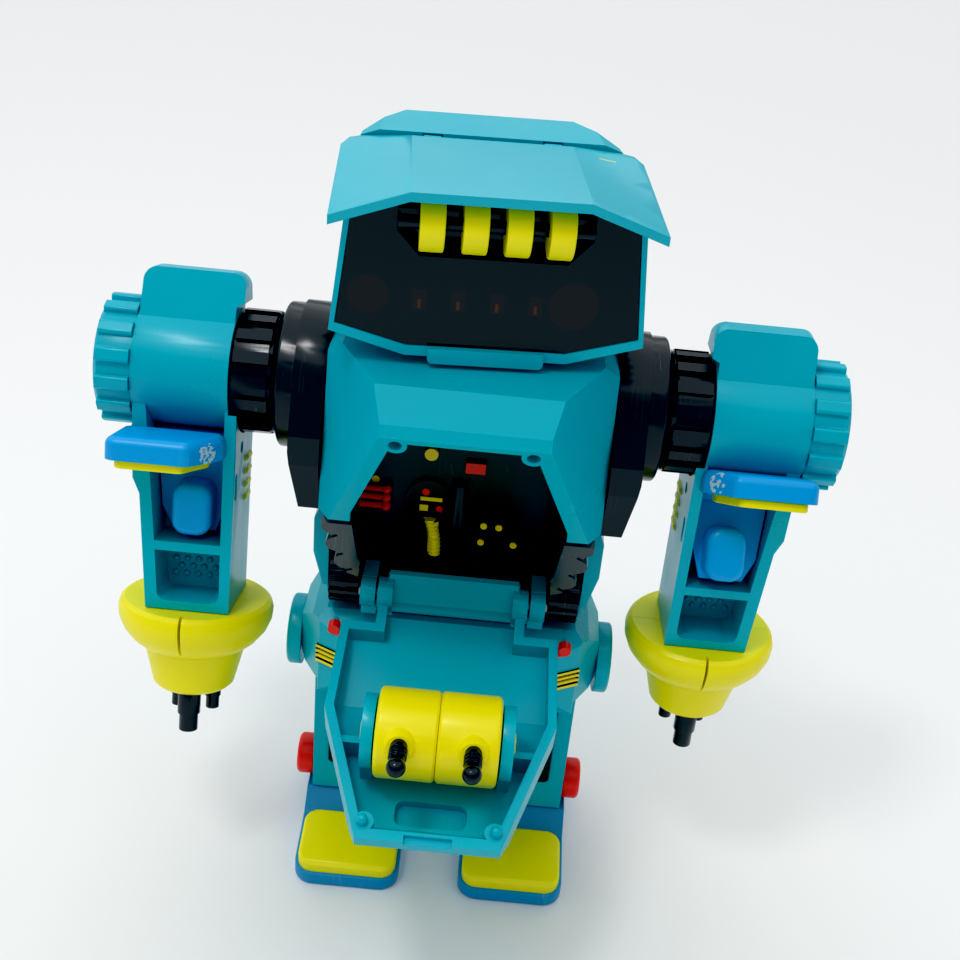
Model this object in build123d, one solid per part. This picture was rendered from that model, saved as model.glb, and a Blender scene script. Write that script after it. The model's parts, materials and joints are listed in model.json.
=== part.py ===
from build123d import *
import os
from math import cos, radians, sin

# Toy robot with a folding chest hatch. Millimetres, +Z up, the robot faces -Y, its left side is +X.
# Every piece is drawn about the body's centre line and standing on z = 0.

# ---------------------------------------------------------------- driving dimensions
WALL = 2.2              # moulded wall thickness
FIT = 0.06              # radial clearance of a shaft in its bore

FOOT_INNER, FOOT_OUTER = 8.5, 38.0      # distance of the shoe's sides from the centre line
TOE_Y, HEEL_Y = -33.0, 22.0
ANKLE_Y, ANKLE_Z = -1.0, 20.0
LEG_INNER, LEG_OUTER = 11.0, 36.4
LEG_FRONT, LEG_BACK = -8.0, 13.0
LEG_BOTTOM, LEG_TOP = 14.0, 56.0
HIP_Y, HIP_Z, HIP_RADIUS = 0.0, 64.5, 9.8
PELVIS_HALF, PELVIS_FRONT, PELVIS_BACK = 40.5, -20.0, 20.0
PELVIS_BOTTOM, PELVIS_TOP = 54.5, 82.4

HINGE_Y, HINGE_Z = -17.7, 91.8          # hatch hinge
HATCH_LEAN = 24.9                       # the closed hatch leans this far forward of upright
HATCH_OPEN = 19.0                       # the open hatch hangs this far below level
DRUM_V, DRUM_H, DRUM_RADIUS = 42.7, 3.5, 10.75
DRUM_HALF = 14.5
BARREL_X, BARREL_BASE = 8.5, 12.5       # a gun's muzzle end of its boss: across, and from the drum's axis
BOSS_ANGLE, BARREL_DIP = 45.0, 28.0     # bosses lean from the tray's normal, and the guns dip further
SNAP_X, SNAP_V = 15.3, 64.1             # snap pins and their sockets

TORSO_BOTTOM, TORSO_TOP = 84.0, 163.5
CHEST_HALF, TORSO_BACK = 34.5, 22.0
PANEL_Y = -8.0                          # face of the cockpit's instrument wall
DRUMS_Y, DRUMS_Z = -10.6, 92.2          # ribbed drums beside the hatch hinge
SHOULDER_Y, SHOULDER_Z = 0.0, 143.0
POD_INNER, POD_OUTER, POD_RADIUS = 34.8, 42.5, 19.0
FLANGE_OUTER, FLANGE_RADIUS = 47.0, 18.2
COLLAR_INNER, COLLAR_OUTER, COLLAR_RADIUS = 47.4, 58.5, 15.5
ARM_RADIUS, ARM_OUTER, CAP_INNER = 15.3, 91.5, 82.2
AXLE_RADIUS = 4.0
SWING_RIGHT, SWING_LEFT = 15.0, 4.0     # how far each arm hangs forward at rest
FOREARM_BOTTOM = -60.7                  # heights below are from the shoulder's axis
FOREARM_FRONT, FOREARM_BACK, FOREARM_SPLIT = -13.0, 12.0, 1.0
FOREARM_OUTLINE = [(56.5, -2.0), (56.2, FOREARM_BOTTOM), (77.3, FOREARM_BOTTOM), (79.6, -31.0), (81.4, -27.0),
                   (82.2, -2.0)]
CHANNEL_BACK = -0.8                     # rear wall of the forearm's open channel
LEVER_Y, LEVER_Z, LEVER_TRAVEL = -4.0, -19.0, 22.0
CUFF_X = 67.0
BARREL_BORE = 2.2                       # radius of the cuff barrels' shanks
BARREL_SPOTS = ((0.0, -4.6), (-4.6, 3.2), (4.6, 3.2))

HEAD_FRONT, HEAD_BACK = -28.5, 20.0
VISOR_SEAM_Y = 5.0
VISOR_AXIS_Y, VISOR_AXIS_Z = 5.5, 204.2   # visor hinge
ROLLER_Y, ROLLER_Z, ROLLER_RADIUS = -28.4, 196.2, 6.2
NECK_RADIUS = 8.0
HEAD_TURN = 5.0                         # the head looks this far to its left at rest


# ---------------------------------------------------------------- basic solids
def block(x0, x1, y0, y1, z0, z1):
    """Box between two corners."""
    return Pos((x0 + x1) / 2, (y0 + y1) / 2, (z0 + z1) / 2) * Box(x1 - x0, y1 - y0, z1 - z0)


def rod_x(radius, x0, x1, y=0.0, z=0.0):
    """Cylinder along X."""
    return Pos((x0 + x1) / 2, y, z) * Rot(0, 90, 0) * Cylinder(radius, x1 - x0)


def rod_y(radius, y0, y1, x=0.0, z=0.0):
    """Cylinder along Y."""
    return Pos(x, (y0 + y1) / 2, z) * Rot(90, 0, 0) * Cylinder(radius, y1 - y0)


def rod_z(radius, z0, z1, x=0.0, y=0.0):
    """Cylinder along Z."""
    return Pos(x, y, (z0 + z1) / 2) * Cylinder(radius, z1 - z0)


def outline(points, inset=0.0):
    """Polygon, moved inwards by inset."""
    face = Polygon(*points, align=None)
    if inset:
        face = offset(face, -inset, kind=Kind.INTERSECTION)
    return face


def side_prism(points, x0, x1, inset=0.0):
    """Outline in (y, z) pulled along X."""
    return extrude(Plane.YZ.offset(x0) * outline(points, inset), amount=x1 - x0, dir=(1, 0, 0))


def front_prism(points, y0, y1, inset=0.0):
    """Outline in (x, z) pulled along Y."""
    plane = Plane(origin=(0, y0, 0), x_dir=(1, 0, 0), z_dir=(0, -1, 0))
    return extrude(plane * outline(points, inset), amount=y1 - y0, dir=(0, 1, 0))


def top_prism(points, z0, z1, inset=0.0):
    """Outline in (x, y) pulled along Z."""
    return extrude(Plane.XY.offset(z0) * outline(points, inset), amount=z1 - z0, dir=(0, 0, 1))


def both_sides(half):
    """Closed outline from its +X half."""
    return half + [(-x, other) for x, other in reversed(half)]


def revolve_x(profile):
    """Solid of revolution about X from (x, radius) points that end on the axis."""
    return revolve(Plane.XY * Polygon(*profile, align=None), Axis.X)


def revolve_z(profile):
    """Solid of revolution about Z from (radius, z) points that end on the axis."""
    return revolve(Plane.XZ * Polygon(*profile, align=None), Axis.Z)


def other_side(part):
    """The same piece on the robot's right."""
    return mirror(part, about=Plane.YZ)


def upright_edges(part):
    """Edges along Z."""
    return part.edges().filter_by(Axis.Z)


# ---------------------------------------------------------------- feet, for the left side
SHOE_SIDE = [(TOE_Y, 0), (HEEL_Y, 0), (HEEL_Y, 10.2), (ANKLE_Y, 13.4), (-7, 13.1), (-12.8, 7.7), (TOE_Y, 4.0)]


def shoe():
    """Blue shoe with an ankle lug that goes up between the leg's shells."""
    body = side_prism(SHOE_SIDE, FOOT_INNER, FOOT_OUTER)
    corners = upright_edges(body).sort_by(Axis.Y)
    body = fillet(corners[:2] + corners[-2:], 5.5)
    body = fillet(body.edges().group_by(Axis.Z)[0], 0.8)
    lug = block(17, 30.4, LEG_FRONT + WALL + 0.9, 7, 12, ANKLE_Z + 4.4)
    lug = fillet(lug.edges().filter_by(Axis.X).group_by(Axis.Z)[-1], 3.0)
    return body + lug - rod_x(1.6 + FIT, 15, 32, ANKLE_Y, ANKLE_Z)


def toe_cap():
    """Yellow cap with rounded corners on the shoe's toe."""
    edge = 0.9
    side = [(-32.1, 2.0), (-13.4, 2.0), (-13.4, 10.4), (-31.0, 7.6), (-32.1, 6.6)]
    cap = side_prism(side, FOOT_INNER + edge, FOOT_OUTER - edge)
    cap = fillet(upright_edges(cap), 4.2)
    cap = fillet(cap.faces().sort_by(Axis.Z)[-1].edges(), 0.9)
    return cap - side_prism(SHOE_SIDE, 0, 50)


# ---------------------------------------------------------------- legs, for the left side
def leg_body(inset=0.0):
    """Leg with its round hip end, as a closed form."""
    side = [(LEG_FRONT + inset, LEG_BOTTOM - inset), (LEG_BACK - inset, LEG_BOTTOM - inset),
            (LEG_BACK - inset - 3.5, LEG_TOP), (LEG_FRONT + inset, LEG_TOP)]
    column = side_prism(side, LEG_INNER + inset, LEG_OUTER - inset)
    hub = rod_x(HIP_RADIUS - 1 - inset, LEG_INNER + inset, LEG_OUTER - inset, HIP_Y, HIP_Z)
    neck = block(LEG_INNER + inset, LEG_OUTER - inset, LEG_FRONT + inset, 7 - inset, LEG_TOP - 1, HIP_Z)
    return column + neck + hub


def leg_shells():
    """Inner and outer halves of the leg, with bores for the hip and ankle axles."""
    seam = 24.0
    shell = leg_body() - leg_body(WALL)
    shell -= block(15, 32, LEG_FRONT - 1, LEG_FRONT + 1.0, 24, 56)
    bosses = rod_x(3.4, LEG_INNER + 1, 16.6, ANKLE_Y, ANKLE_Z)
    bosses = bosses + rod_x(3.4, 30.8, LEG_OUTER - 1, ANKLE_Y, ANKLE_Z)
    hub = rod_x(4.6, LEG_INNER + 1, LEG_OUTER - 1, HIP_Y, HIP_Z)
    shell = shell + (bosses & leg_body()) + hub
    shell -= rod_x(1.6 + FIT, LEG_INNER + 1.2, LEG_OUTER + 1, ANKLE_Y, ANKLE_Z)
    shell -= rod_x(2.5 + FIT, LEG_INNER - 1, LEG_OUTER + 1, HIP_Y, HIP_Z)
    inner = shell & block(0, seam, -40, 40, 0, 90)
    outer = shell & block(seam, 50, -40, 40, 0, 90)
    return inner, outer


def leg_pad():
    """Textured pad let into the front of the leg."""
    pad = block(15.1, 31.9, LEG_FRONT - 1.0, LEG_FRONT + 0.9, 24.1, 55.9)
    return fillet(pad.edges().filter_by(Axis.Y), 1.5)


def ankle_knob():
    """Red knob with the stem that the shoe tilts on."""
    knob = rod_x(5.9, LEG_OUTER + 0.1, 41.5, ANKLE_Y, ANKLE_Z)
    knob = fillet(knob.edges().sort_by(Axis.X)[-1], 1.3)
    return knob + rod_x(1.6, LEG_INNER + 1.5, LEG_OUTER + 1, ANKLE_Y, ANKLE_Z)


# ---------------------------------------------------------------- pelvis
PELVIS_ACROSS = both_sides([(33, PELVIS_BOTTOM), (38, 58), (PELVIS_HALF, 63), (PELVIS_HALF, 75), (37, 79.2),
                            (33, PELVIS_TOP)])
PELVIS_SIDE = [(PELVIS_FRONT + 5, PELVIS_BOTTOM), (PELVIS_BACK - 4, PELVIS_BOTTOM), (PELVIS_BACK, 60),
               (PELVIS_BACK, 76), (PELVIS_BACK - 5, PELVIS_TOP), (-13.5, PELVIS_TOP), (PELVIS_FRONT, 78.2),
               (PELVIS_FRONT - 1.5, 72), (PELVIS_FRONT, 62)]
PELVIS_PLAN = both_sides([(24, PELVIS_BACK), (36, 16), (PELVIS_HALF, 6.5), (PELVIS_HALF, -7), (34.5, -17),
                          (26, PELVIS_FRONT - 1.5)])


def pelvis_form(inset=0.0):
    """Closed form of the pelvis, where its three outlines cross."""
    form = front_prism(PELVIS_ACROSS, -30, 30, inset) & side_prism(PELVIS_SIDE, -60, 60, inset)
    return form & top_prism(PELVIS_PLAN, 40, 100, inset)


VENT_PLACE = Pos(30.9, -16.6, 69.8) * Rot(0, 0, 28)


def vent_box(grow=0.0):
    """Space of the vent insert in the pelvis's left front corner."""
    return VENT_PLACE * Box(7.4 + grow, 5.0 + grow, 5.6 + grow)


def pelvis_shells():
    """Front and rear halves of the pelvis, open below for the legs."""
    shell = pelvis_form() - pelvis_form(WALL)
    leg_slot = block(LEG_INNER - 1.5, PELVIS_HALF + 2, -16.5, 15, PELVIS_BOTTOM - 2, PELVIS_BOTTOM + 6)
    shell -= leg_slot + other_side(leg_slot)
    shell += rod_z(11.0, PELVIS_TOP - 7, PELVIS_TOP - 0.2)
    shell -= rod_z(6.0 + FIT, PELVIS_TOP - 8, PELVIS_TOP + 1)
    shell -= rod_x(2.5 + FIT, -60, 60, HIP_Y, HIP_Z)
    shell -= vent_box(0.1) + other_side(vent_box(0.1))
    stud = rod_y(1.5, -19.6, -15.5, 30.4, 79.6)
    shell += stud + other_side(stud)
    front = shell & block(-60, 60, -40, 0, 0, 120)
    rear = shell & block(-60, 60, 0, 40, 0, 120)
    return front, rear


def pelvis_vents():
    """Pair of louvred vent inserts."""
    vent = vent_box()
    for level in (-1.5, 0.0, 1.5):
        vent -= VENT_PLACE * Pos(0, -2.4, level) * Box(6.4, 1.2, 0.7)
    return Compound([vent, other_side(vent)])


def hip_axle():
    """Steel rod through both hips."""
    return rod_x(2.5, -43.0, 43.0, HIP_Y, HIP_Z)


def hip_caps():
    """Round caps on the ends of the hip axle."""
    cap = rod_x(HIP_RADIUS, PELVIS_HALF + 0.1, 44.5, HIP_Y, HIP_Z)
    cap = fillet(cap.edges().sort_by(Axis.X)[-1], 1.0)
    cap -= rod_x(2.5 + FIT, PELVIS_HALF - 1, 43.1, HIP_Y, HIP_Z)
    cap -= rod_x(7.4, 44.0, 45, HIP_Y, HIP_Z) - rod_x(5.6, 43.9, 45, HIP_Y, HIP_Z)
    return Compound([cap, other_side(cap)])


def waist_post():
    """Turning post between pelvis and torso, with a flange that keeps it in."""
    post = rod_z(6.0, PELVIS_TOP - 9, TORSO_BOTTOM + 4)
    return post + rod_z(8.5, PELVIS_TOP - 9.5, PELVIS_TOP - 7.3)


# ---------------------------------------------------------------- the hatch's own frame
def hatch_place(angle):
    """Location of the hatch's frame: v runs along -Y from the hinge, h along +Z from the rim's plane."""
    return Pos(0, HINGE_Y, HINGE_Z) * Rot(angle, 0, 0)


OPEN = hatch_place(HATCH_OPEN)
CLOSED = hatch_place(HATCH_LEAN - 90.0)


def hatch_prism(half, h0, h1, inset=0.0):
    """Symmetric outline of (x, v) points between two heights of the hatch's frame."""
    return top_prism([(x, -v) for x, v in both_sides(half)], h0, h1, inset)


def chest_front_point(v, out=0.0):
    """(y, z) of a point on the plane that the closed hatch's rim rests on."""
    lean = radians(HATCH_LEAN)
    return HINGE_Y - v * sin(lean) - out * cos(lean), HINGE_Z + v * cos(lean) - out * sin(lean)


# ---------------------------------------------------------------- torso
CHEST_SIDE = [(TORSO_BACK, 96), (TORSO_BACK, 154), (16, TORSO_TOP), (-15, TORSO_TOP), (-39.5, 162.2),
              (-45.2, 155.2), chest_front_point(66.5), chest_front_point(32.0), (-14, 119), (-14, TORSO_BOTTOM),
              (17, TORSO_BOTTOM)]
CHEST_ACROSS = both_sides([(30, TORSO_TOP), (CHEST_HALF, 158), (CHEST_HALF, 116.5), (37, 110), (37, 100),
                           (34.4, 90), (33.4, TORSO_BOTTOM)])


def facet_half_space(inset):
    """Everything outside the sloping facet beside the chest's middle panel, on the left."""
    a, b, c = Vector(CHEST_HALF, -15, 161), Vector(33, -28, 121), Vector(20.4, -42.0, 157.5)
    normal = (b - a).cross(c - a).normalized()
    if normal.X < 0:
        normal = -normal
    face = Plane(origin=a - normal * inset, z_dir=normal)
    return extrude(face * Rectangle(200, 200), amount=60, dir=normal)


def chest_form(inset=0.0):
    """Closed form of the torso."""
    form = side_prism(CHEST_SIDE, -60, 60, inset) & front_prism(CHEST_ACROSS, -70, 40, inset)
    facet = facet_half_space(inset) & block(0, 80, -70, -13.8, 116, 200)
    return form - facet - other_side(facet)


def chest_shells():
    """Front and rear shells of the torso, with the cockpit opening and the snap sockets."""
    shell = chest_form() - chest_form(WALL)
    opening = [(SNAP_X + 0.6, 65.0), (25.9, 35.5), (26.4, 20)]
    shell -= CLOSED * hatch_prism(opening, -5, 8)
    shell -= block(-33, 33, -40, -11, TORSO_BOTTOM + 2.4, 119)
    shell -= CLOSED * hatch_prism([(31.5, 34.0), (31.5, 20)], WALL, 30)
    socket = Pos(SNAP_X, -SNAP_V, 0) * (Pos(0, 0, 1.5) * Cylinder(2.7, 3.0))
    hole = Pos(SNAP_X, -SNAP_V, 0) * Cylinder(1.55, 12)
    sockets = CLOSED * Compound([socket, other_side(socket)])
    holes = CLOSED * Compound([hole, other_side(hole)])
    shell = shell + sockets - holes
    bracket = rod_x(3.9, 19.9, 23.8, HINGE_Y, HINGE_Z) + block(19.9, 23.8, HINGE_Y + 1, -9, TORSO_BOTTOM, 95.7)
    bracket -= rod_x(1.2, 19, 25, HINGE_Y, HINGE_Z)
    base = block(-33, 33, -15.0, 16, TORSO_BOTTOM, TORSO_BOTTOM + WALL)
    corner = block(24.0, 35.0, -40, -9.5, TORSO_BOTTOM - 1, TORSO_BOTTOM + 6)
    shell = shell + base - corner - other_side(corner) + bracket + other_side(bracket)
    shell -= rod_z(6.0 + FIT, TORSO_BOTTOM - 1, TORSO_BOTTOM + 3)
    shell += rod_z(12.5, TORSO_TOP - 3.4, TORSO_TOP - 1)
    shell -= rod_z(NECK_RADIUS + FIT, TORSO_TOP - 6, TORSO_TOP + 1)
    axles = rod_x(AXLE_RADIUS + 0.02, -60, 60, SHOULDER_Y, SHOULDER_Z)
    shell -= axles
    seam = -4.0
    front = shell & block(-60, 60, -80, seam, 0, 220)
    rear = shell & block(-60, 60, seam, 60, 0, 220)
    return front, rear


def cockpit_liner():
    """Black instrument wall with its moulded controls."""
    half_top, half_low = 27.5, 26.5
    across = both_sides([(23.9, 87.0), (23.9, 102.4), (half_top, 102.4), (half_top, 156.6)])
    wall = front_prism(across, PANEL_Y, PANEL_Y + 1.6)
    side_yz = [(PANEL_Y + 0.4, 102.4), (PANEL_Y + 0.4, 156.6), (-36, 156.6), (-40, 149), (-28.5, 122),
               (-20, 102.4)]
    cheek = side_prism(side_yz, half_low - 0.6, half_top)
    cheek &= CLOSED * hatch_prism([(40, 66), (40, 0)], 2.6, 60)
    ceiling = block(-half_top, half_top, -30, PANEL_Y + 0.4, 155.2, 156.6)
    liner = wall + cheek + other_side(cheek) + ceiling
    liner &= chest_form(WALL + 0.15) + block(-28.5, 28.5, -36, -5, 86, 122.0)
    ring = rod_y(5.8, PANEL_Y - 1.2, PANEL_Y + 0.5, -8.6, 115.5)
    ring = ring - rod_y(4.9, PANEL_Y - 2, PANEL_Y - 0.2, -8.6, 115.5)
    well = rod_y(4.6, PANEL_Y - 0.6, PANEL_Y + 0.9, 7.7, 117.6)
    pipe = rod_z(2.0, 99, 121, -0.8, PANEL_Y - 0.4)
    shelf = block(-12, 12, PANEL_Y - 2.6, PANEL_Y + 0.4, 94.5, 97.5)
    liner = liner + ring - well + pipe + shelf
    for x in (-9.0, -4.5, 4.5, 9.0):
        liner -= block(x - 1.4, x + 1.4, PANEL_Y - 4, PANEL_Y - 1.2, 95.2, 96.8)
    hose = rod_z(1.3, 100.5, 110.0, -6.8, PANEL_Y - 1.2)
    plate = block(0.2, 5.2, PANEL_Y - 1.4, PANEL_Y + 0.4, 124.6, 127.6)
    knob = rod_y(1.7, PANEL_Y - 2.4, PANEL_Y + 0.4, -8.6, 129.5)
    liner = liner + hose + plate + knob
    for level in (118.0, 115.5, 113.0):
        stem = rod_x(0.8, -27, -19.6, PANEL_Y - 1.6, level)
        liner = liner + stem + Pos(-19.4, PANEL_Y - 1.6, level) * Sphere(1.3)
    for x, z in ((6.1, 109.0), (10.0, 108.9), (5.7, 104.0), (14.2, 104.0)):
        liner += rod_y(0.9, PANEL_Y - 0.8, PANEL_Y + 0.4, x, z)
    return liner


def side_panels():
    """Scalloped panels between the chest's lower corners and the hinge."""
    edge = [(25.6, 30.4), (31.2, 30.4), (31.2, 26.0), (29.4, 17.0), (27.4, 8.0), (24.6, 6.6), (24.2, 10)]
    plate = extrude(Plane.XY * Polygon(*[(x, -v) for x, v in edge], align=None), amount=2.2, dir=(0, 0, 1))
    for x, v in ((31.6, 29.0), (30.6, 21.0), (28.8, 13.2)):
        plate += Pos(x - 1.6, -v, 1.1) * Cylinder(3.3, 2.2)
    for x, v in ((30.4, 24.6), (29.2, 16.4), (27.2, 9.4)):
        plate -= Pos(x, -v, 1.1) * Rot(0, 0, 35) * Box(2.6, 0.9, 6)
    plate &= hatch_prism([(40, 30.4), (40, 6.6)], -1, 5)
    plate = CLOSED * plate
    plate = plate & block(20, 33.0, -60, 0, TORSO_BOTTOM, 121)
    return Compound([plate, other_side(plate)])


def waist_core():
    """Black ribbed drums each side of the hinge, joined by a bar behind the instrument wall."""
    drum = rod_x(7.0, 24.6, 32.4, DRUMS_Y, DRUMS_Z)
    for turn in range(0, 360, 20):
        drum += Pos(28.5, DRUMS_Y, DRUMS_Z) * Rot(turn, 0, 0) * Pos(0, 0, 7.0) * Box(7.8, 1.2, 1.5)
    drum -= block(31.0, 40, -11.2, 10, 80, 110)
    bar = rod_x(2.4, -26, 26, -3.6, 91.0)
    core = drum + other_side(drum) + bar
    return core - block(-40, 40, -9.6, 40, 80, TORSO_BOTTOM + WALL + 0.1) - block(-40, 40, -40, 0, 80, 84.6)


def hatch_pin():
    """Hinge pin of the hatch."""
    return rod_x(1.15, -24.4, 24.4, HINGE_Y, HINGE_Z)


def shoulder_pod():
    """Black shoulder pod with its wing and flange ring, on the left."""
    wing = [(-17.5, 150), (-23.5, 138), (-24.5, 131), (-21.2, 117.4), (-17.2, 116.4), (-8, 120), (6, 125)]
    pod = rod_x(POD_RADIUS, POD_INNER, POD_OUTER, SHOULDER_Y, SHOULDER_Z)
    pod = pod + side_prism(wing, POD_INNER, POD_OUTER)
    taper = front_prism([(POD_OUTER, 134), (POD_OUTER + 9, 134), (POD_OUTER + 9, 110), (39.0, 110)], -60, 60)
    pod -= taper
    pocket = side_prism([(-21.6, 133.5), (-19.2, 121.6), (-10.5, 124.2), (-12.4, 130)], 39.4, 60)
    pod -= pocket
    pod += rod_x(FLANGE_RADIUS, POD_OUTER - 0.5, FLANGE_OUTER, SHOULDER_Y, SHOULDER_Z)
    pod = fillet(pod.edges().filter_by(GeomType.CIRCLE).sort_by(Axis.X)[-1], 0.9)
    return pod - rod_x(AXLE_RADIUS + 0.02, 30, 60, SHOULDER_Y, SHOULDER_Z)


def shoulder_axles():
    """Axle stubs that the arms turn on, each held by a flange inside the torso."""
    stub = rod_x(AXLE_RADIUS, 29.5, 63.0, SHOULDER_Y, SHOULDER_Z)
    stub = stub + rod_x(6.5, 28.5, 31.9, SHOULDER_Y, SHOULDER_Z)
    return Compound([stub, other_side(stub)])


def chest_screws():
    """Four screws that hold the torso's shells together."""
    screws = []
    for x in (-26.0, 26.0):
        for z in (106.0, 152.0):
            head = rod_y(2.6, TORSO_BACK - WALL + 0.1, TORSO_BACK - 0.6, x, z)
            screws.append(head + rod_y(1.2, 2.0, TORSO_BACK - WALL + 0.5, x, z))
    return Compound(screws)


def screw_holes():
    """Counterbored holes for the four screws."""
    holes = None
    for x in (-26.0, 26.0):
        for z in (106.0, 152.0):
            hole = rod_y(2.7, TORSO_BACK - WALL + 0.05, TORSO_BACK + 1, x, z)
            hole = hole + rod_y(1.3, 0, TORSO_BACK + 1, x, z)
            holes = hole if holes is None else holes + hole
    return holes


# ---------------------------------------------------------------- hatch
TRAY_OUTLINE = [(18.9, -1.5), (18.9, 9.5), (27.5, 9.5), (28.2, 35.0), (16.6, 68.2)]
TRAY_INSIDE = [(16.4, 2.4), (16.4, 12.0), (25.4, 12.0), (26.0, 34.2), (15.2, 65.6)]


def hatch_tray():
    """Folding chest hatch: a deep tray with a rim, drum supports, snap pins and a latch notch."""
    side = [(4.3, -0.3), (-68.4, -0.3), (-68.4, -3.6), (-62, -9.6), (-30, -9.6), (-9.5, -6.4), (-5.0, -4.3)]
    room = [(1.3, 1), (-70, 1), (-70, -2.0), (-61.4, -8.0), (-30, -8.0), (-10, -4.9), (-3.0, -4.0)]
    tray = hatch_prism(TRAY_OUTLINE, -20, 0) & side_prism(side, -40, 40)
    tray -= hatch_prism(TRAY_INSIDE, -20, 1) & side_prism(room, -40, 40)
    tray += block(-10.2, 10.2, -62.0, -52.6, -12.0, -8.6)
    pocket = block(-8.5, 8.5, -60.4, -54, -10.6, 0)
    tray -= fillet(upright_edges(pocket), 2.0)
    heel = side_prism([(3.4, -3.5), (3.4, 5.4), (2.0, 5.4), (-2.6, -0.3), (-2.6, -3.5)], -16.6, 16.6)
    tray += heel
    cheek = rod_x(4.2, 15.4, 19.3, 0, 0) + block(15.4, 18.9, -4, 3.0, -4.2, 0)
    cheek += block(15.4, 17.0, 0, 3.4, 0, 4.4)
    disc = rod_x(8.75, DRUM_HALF + 0.4, 17.75, -DRUM_V, DRUM_H)
    disc += block(DRUM_HALF + 0.4, 17.75, -DRUM_V - 6.5, -DRUM_V + 6.5, -8.8, DRUM_H)
    rib = block(17.2, 24.4, -DRUM_V - 0.9, -DRUM_V + 0.9, -8.8, -1.4)
    corner = rod_z(2.4, -6, -0.3, SNAP_X - 0.3, -SNAP_V + 0.2) & hatch_prism(TRAY_OUTLINE, -20, 0)
    pin = rod_z(1.3, -1.0, 0.9, SNAP_X, -SNAP_V) + Pos(SNAP_X, -SNAP_V, 0.9) * Sphere(1.3)
    left = cheek + disc + rib + corner + pin
    tray = tray + left + other_side(left)
    tray -= rod_x(1.15 + FIT, -25, 25, 0, 0)
    tray -= rod_x(2.5 + FIT, -18.5, 18.5, -DRUM_V, DRUM_H)
    tray -= block(-5.5, 5.5, -70, -66.4, -1.4, 1)
    return OPEN * tray


def drum_frame(part):
    """Put a turret piece, drawn about X with its gun bosses at +Z, on the open hatch."""
    return OPEN * (Pos(0, -DRUM_V, DRUM_H) * Rot(BOSS_ANGLE, 0, 0) * part)


GUN = Pos(BARREL_X, 0, BARREL_BASE) * Rot(BARREL_DIP, 0, 0)


def drum_half():
    """Left half of the yellow turret drum, with its trunnion and gun boss."""
    drum = rod_x(DRUM_RADIUS, 0.05, DRUM_HALF)
    drum = fillet(drum.edges().sort_by(Axis.X)[-1], 1.2)
    drum = chamfer(drum.edges().sort_by(Axis.X)[0], 0.6)
    boss = Pos(BARREL_X, 0, BARREL_BASE - 4.0) * Rot(6, 0, 0) * Cone(5.8, 3.1, 8.0)
    drum += boss & block(0.05, DRUM_HALF, -20, 20, 0, 20)
    drum += rod_x(2.5, DRUM_HALF - 1, 18.3)
    return drum - GUN * rod_z(1.96, -6.0, 4.0)


def turret_barrel():
    """Black ringed barrel with a ball muzzle."""
    barrel = rod_z(1.9, -5.9, 5.2) + Pos(0, 0, 6.4) * Sphere(2.25)
    for height in (0.9, 2.0, 3.1):
        barrel += rod_z(2.15, height, height + 0.55)
    return GUN * barrel


# ---------------------------------------------------------------- arms, for the left side, hanging straight
def arm_place(part, swing):
    """Hang an arm piece on the shoulder axis, swung forward."""
    return Pos(0, SHOULDER_Y, SHOULDER_Z) * Rot(-swing, 0, 0) * part


def collar():
    """Black ribbed collar next to the shoulder."""
    ring = revolve_x([(COLLAR_INNER, 0), (COLLAR_INNER, 14.0), (48.4, 15.2), (49.6, 14.3), (57.4, 14.3),
                      (COLLAR_OUTER, 14.3), (COLLAR_OUTER, 0)])
    for turn in range(16):
        rib = Pos(53.4, 0, 0) * Rot(turn * 22.5, 0, 0) * Pos(0, 0, 14.4) * Box(8.6, 3.0, 2.0)
        ring += rib
    return ring - rod_x(AXLE_RADIUS + FIT, 40, 70)


def arm_barrel():
    """Upper arm tube with its fin."""
    tube = rod_x(ARM_RADIUS, COLLAR_OUTER + 0.1, CAP_INNER)
    fin = front_prism([(58.7, 5), (58.7, 16.4), (56.8, 17.4), (56.8, 24.4), (81.8, 24.4), (82.0, 5)], -20, 20)
    fin = fillet(fin.edges().filter_by(Axis.Y).group_by(Axis.Z)[-1], 3.4)
    fin &= side_prism([(-10.8, 5), (-5.2, 24.4), (0.4, 24.4), (8.0, 5)], 50, 90)
    room = front_prism([(61.0, 5), (59.6, 22.0), (79.4, 22.0), (79.8, 5)], -20, 20)
    room &= side_prism([(-8.6, 5), (-4.6, 20.4), (-0.8, 20.4), (5.2, 5)], 50, 90)
    tube = tube + fin - room
    tube -= rod_x(ARM_RADIUS - WALL, COLLAR_OUTER + 3, CAP_INNER + 1)
    return tube - rod_x(AXLE_RADIUS + FIT, 50, 70)


def end_cap():
    """Knurled end cap of the upper arm."""
    cap = rod_x(ARM_RADIUS - 0.5, CAP_INNER + 0.1, ARM_OUTER)
    cap = chamfer(cap.edges().sort_by(Axis.X)[-1], 1.0)
    for turn in range(14):
        bump = Box(8.2, 3.6, 2.4)
        bump = fillet(bump.edges().filter_by(Axis.X).group_by(Axis.Z)[-1], 0.8)
        cap += Rot(turn * 360 / 14, 0, 0) * Pos(CAP_INNER + 4.4, 0, 15.0) * bump
    return cap - rod_x(ARM_RADIUS - 3, CAP_INNER - 1, ARM_OUTER - 3.0)


def barrel_space():
    """Room that the forearm leaves for the arm barrel and the collar."""
    return rod_x(ARM_RADIUS + 0.05, 50, 90) + rod_x(COLLAR_RADIUS + 0.4, 50, COLLAR_OUTER + 0.1)


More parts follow.
